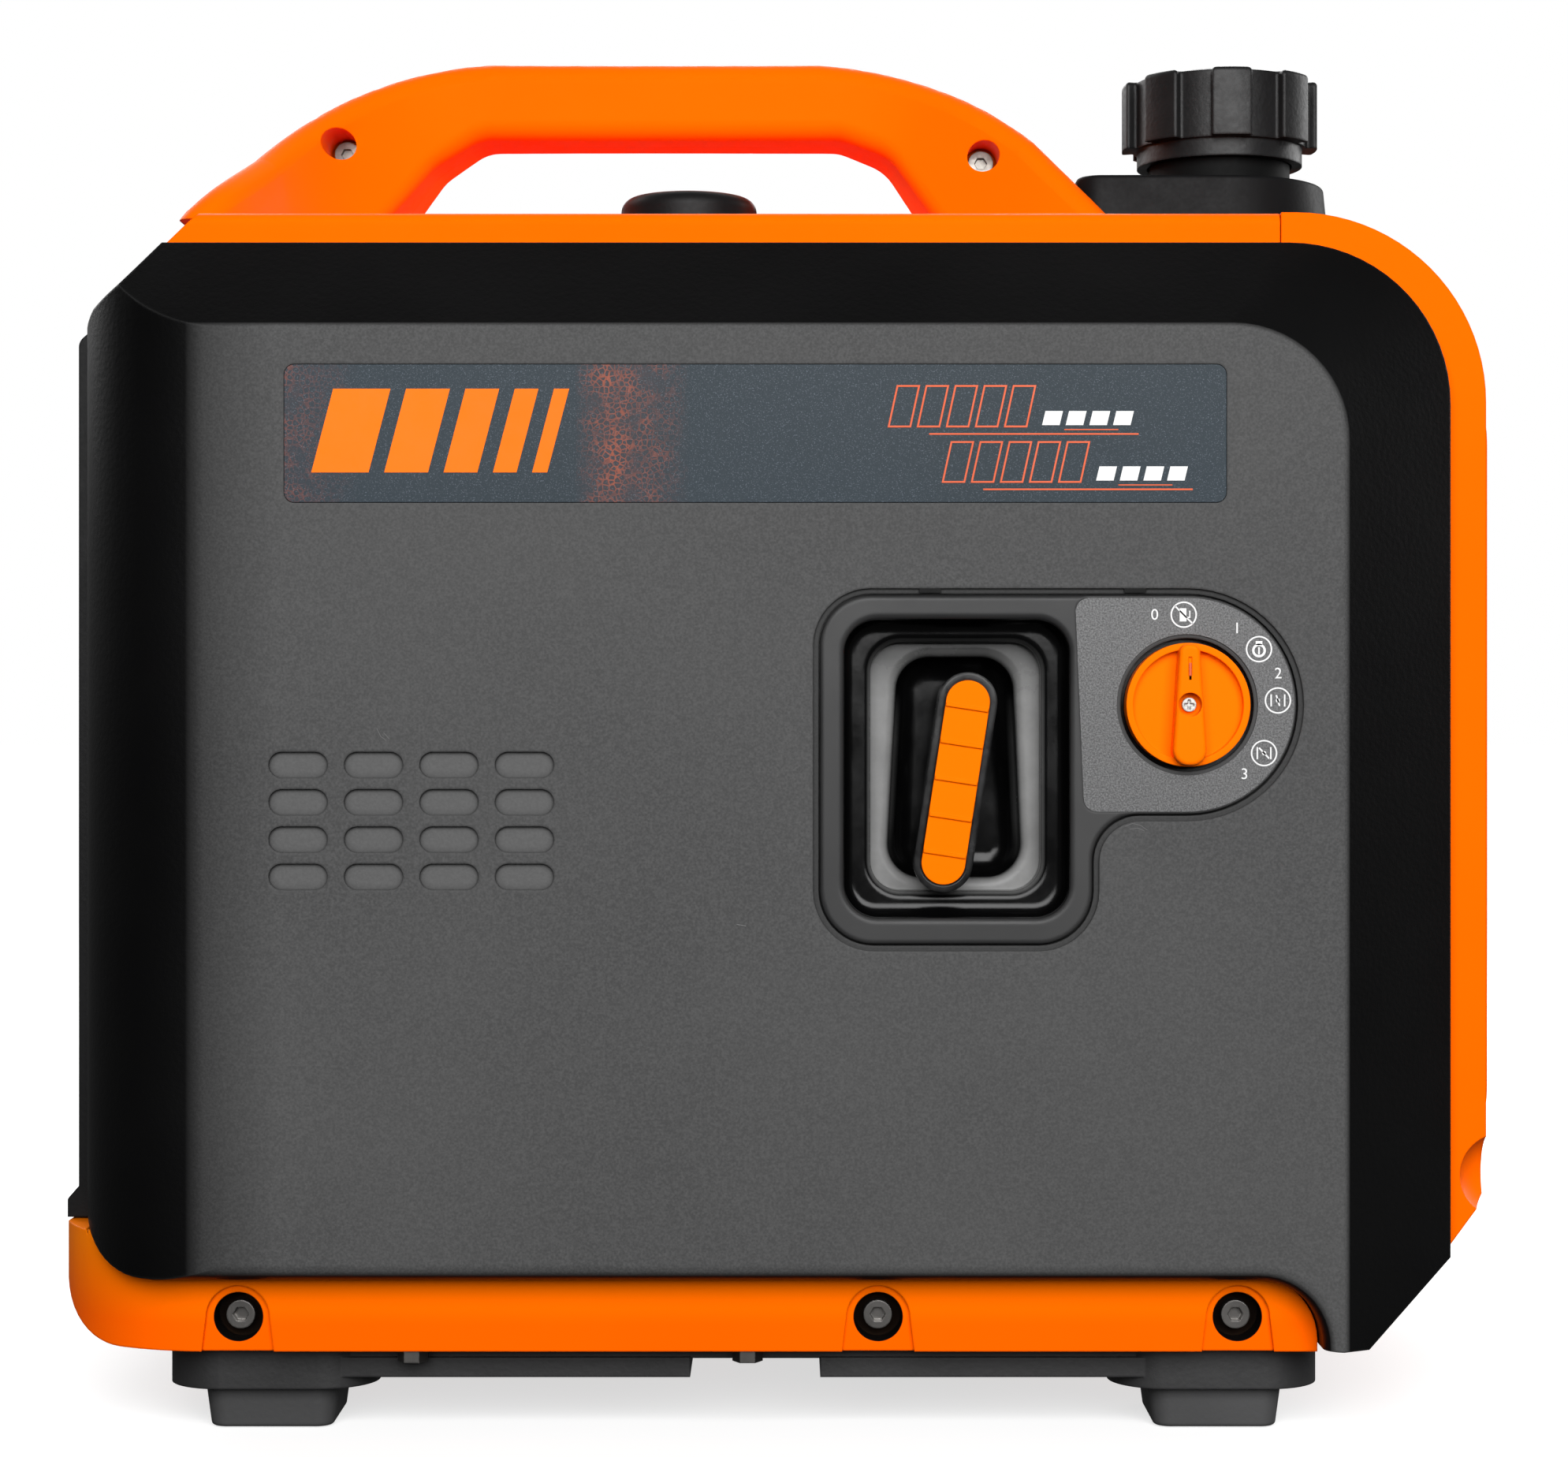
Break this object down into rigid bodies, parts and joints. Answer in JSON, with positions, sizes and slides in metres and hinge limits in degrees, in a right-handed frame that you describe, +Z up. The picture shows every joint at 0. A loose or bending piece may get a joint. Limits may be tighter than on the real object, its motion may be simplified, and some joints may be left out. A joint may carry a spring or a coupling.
{
  "type": "portable generator",
  "caption": "Closed suitcase-style portable inverter generator with carrying handle, recoil starter, fuel dial, control panel and rubber feet.",
  "frame": {"origin": "on the ground under the middle of the case", "axes": "+X towards the exhaust end, -X the control panel, -Y the starter side, +Z up"},
  "size_m": [0.45, 0.3038, 0.4365],
  "materials": {
    "orange_shell": "fine-textured bright orange moulding",
    "dark_shell": "leather-grained dark grey moulding",
    "black_shell": "satin black moulding",
    "gloss_black": "semi-gloss black moulding",
    "dial_grey": "speckled grey label film with white symbols",
    "plate_blue": "metallic dark blue label film",
    "orange_dial": "satin orange moulding",
    "rubber_black": "moulded rubber",
    "zinc_steel": "zinc-plated steel",
    "black_steel": "black-coated steel",
    "cast_alloy": "die-cast aluminium",
    "silicon_steel": "laminated steel",
    "muffler_steel": "bare pressed steel",
    "brass_metal": "brass",
    "ceramic_white": "glazed insulator with a black boot",
    "lamp_lens": "clear coloured lens",
    "button_white": "white button",
    "button_red": "red rocker",
    "rope_black": "braided cord",
    "tank_black": "black-coated tank"
  },
  "bodies": {
    "case": {"ac_outlets": "gloss_black", "air_cleaner": "black_shell", "alternator_housing": "cast_alloy", "alternator_stator": "silicon_steel", "base_fasteners": "black_steel", "base_pan": "orange_shell", "carburettor": "cast_alloy", "case_screws": "black_steel", "control_panel": "black_shell", "crankcase": "cast_alloy", "cylinder_block": "cast_alloy", "cylinder_head": "cast_alloy", "dial_plate": "dial_grey", "engine_cradle": "black_steel", "filler_shroud": "black_shell", "front_frame": "black_shell", "fuel_tank": "tank_black", "fuel_tap": "cast_alloy", "ground_terminal": "brass_metal", "indicator_lights": "lamp_lens", "inverter_module": "cast_alloy", "muffler": "muffler_steel", "name_plate": "plate_blue", "panel_fittings": "gloss_black", "parallel_jacks": "gloss_black", "piston": "cast_alloy", "rear_frame": "orange_shell", "rear_grille": "black_shell", "recoil_housing": "black_shell", "rubber_feet": "rubber_black", "side_cover_service": "dark_shell", "side_cover_starter": "dark_shell", "skids": "black_shell", "spark_plug": "ceramic_white", "starter_bezel": "gloss_black", "starter_rope": "rope_black", "top_cover_far": "orange_shell", "top_cover_near": "orange_shell"},
    "grip": {"starter_grip": "gloss_black", "grip_insert": "orange_dial"},
    "pulley": {"recoil_pulley": "gloss_black"},
    "crank": {"crankshaft": "zinc_steel", "flywheel": "cast_alloy", "alternator_rotor": "silicon_steel"},
    "dial": {"dial_knob": "orange_dial", "dial_screw": "zinc_steel"},
    "choke": {"choke_plate": "brass_metal"},
    "cap_core": {"fuel_cap_plug": "black_shell"},
    "cap_shell": {"fuel_cap": "black_shell"},
    "vent_lever": {"cap_vent_lever": "gloss_black"},
    "access_cap": {"plug_access_cap": "black_shell"},
    "door": {"service_door": "dark_shell"},
    "latch": {"door_latch": "gloss_black"},
    "rocker": {"eco_rocker": "button_red"},
    "ac_button": {"ac_breaker_button": "button_white"},
    "dc_button": {"dc_breaker_button": "button_white"},
    "lid_left": {"outlet_lid_left": "gloss_black"},
    "lid_right": {"outlet_lid_right": "gloss_black"},
    "lid_round": {"round_outlet_lid": "gloss_black"}
  },
  "joints": [
    {"name": "starter_pull", "type": "slide", "parent": "case", "child": "grip", "axis": [0, -1, 0], "range_m": [0, 0.5], "stiffness_N_per_m": 10, "springref_m": -0.5, "deforming": ["starter_rope"]},
    {"name": "recoil_turn", "type": "hinge", "parent": "case", "child": "pulley", "pos_m": [0.02, -0.098, 0.152], "axis": [0, 1, 0], "range_deg": [0, 640]},
    {"name": "crank_spin", "type": "hinge", "parent": "case", "child": "crank", "pos_m": [0.02, -0.031, 0.152], "axis": [0, 1, 0], "continuous": true},
    {"name": "dial_turn", "type": "hinge", "parent": "case", "child": "dial", "pos_m": [0.1195, -0.144, 0.22], "axis": [0, 1, 0], "range_deg": [0, 123]},
    {"name": "choke_turn", "type": "hinge", "parent": "case", "child": "choke", "pos_m": [-0.02138, 0.048, 0.2657], "axis": [0, 0, 1], "range_deg": [0, 92]},
    {"name": "fuel_cap_lift", "type": "slide", "parent": "case", "child": "cap_core", "axis": [0, 0, 1], "range_m": [0, 0.15]},
    {"name": "fuel_cap_turn", "type": "hinge", "parent": "cap_core", "child": "cap_shell", "pos_m": [0.1484, 0, 0.42], "axis": [0, 0, 1], "range_deg": [0, 90]},
    {"name": "vent_lever_turn", "type": "hinge", "parent": "cap_shell", "child": "vent_lever", "pos_m": [0.1484, 0, 0.435], "axis": [0, 0, 1], "range_deg": [0, 90]},
    {"name": "access_cap_lift", "type": "slide", "parent": "case", "child": "access_cap", "axis": [0, 0, 1], "range_m": [0, 0.1]},
    {"name": "door_lift", "type": "slide", "parent": "case", "child": "door", "axis": [0, 1, 0], "range_m": [0, 0.2]},
    {"name": "latch_turn", "type": "hinge", "parent": "door", "child": "latch", "pos_m": [0.004, 0.145, 0.282], "axis": [0, 1, 0], "range_deg": [-90, 0]},
    {"name": "eco_rocker_tilt", "type": "hinge", "parent": "case", "child": "rocker", "pos_m": [-0.212, -0.04, 0.3], "axis": [0, 1, 0], "range_deg": [0, 9]},
    {"name": "ac_breaker_press", "type": "slide", "parent": "case", "child": "ac_button", "axis": [1, 0, 0], "range_m": [0, 0.002], "stiffness_N_per_m": 400},
    {"name": "dc_breaker_press", "type": "slide", "parent": "case", "child": "dc_button", "axis": [1, 0, 0], "range_m": [0, 0.002], "stiffness_N_per_m": 400},
    {"name": "left_lid_open", "type": "hinge", "parent": "case", "child": "lid_left", "pos_m": [-0.2218, 0.054, 0.2165], "axis": [0, 1, 0], "range_deg": [0, 110]},
    {"name": "right_lid_open", "type": "hinge", "parent": "case", "child": "lid_right", "pos_m": [-0.2218, 0.014, 0.2165], "axis": [0, 1, 0], "range_deg": [0, 110]},
    {"name": "round_lid_open", "type": "hinge", "parent": "case", "child": "lid_round", "pos_m": [-0.2218, -0.04, 0.2165], "axis": [0, 1, 0], "range_deg": [0, 110]}
  ],
  "couplings": [
    {"joint": "recoil_turn", "follows": "starter_pull", "rad_per_m": 22.222},
    {"joint": "choke_turn", "follows": "dial_turn", "ratio": 0.7317}
  ]
}
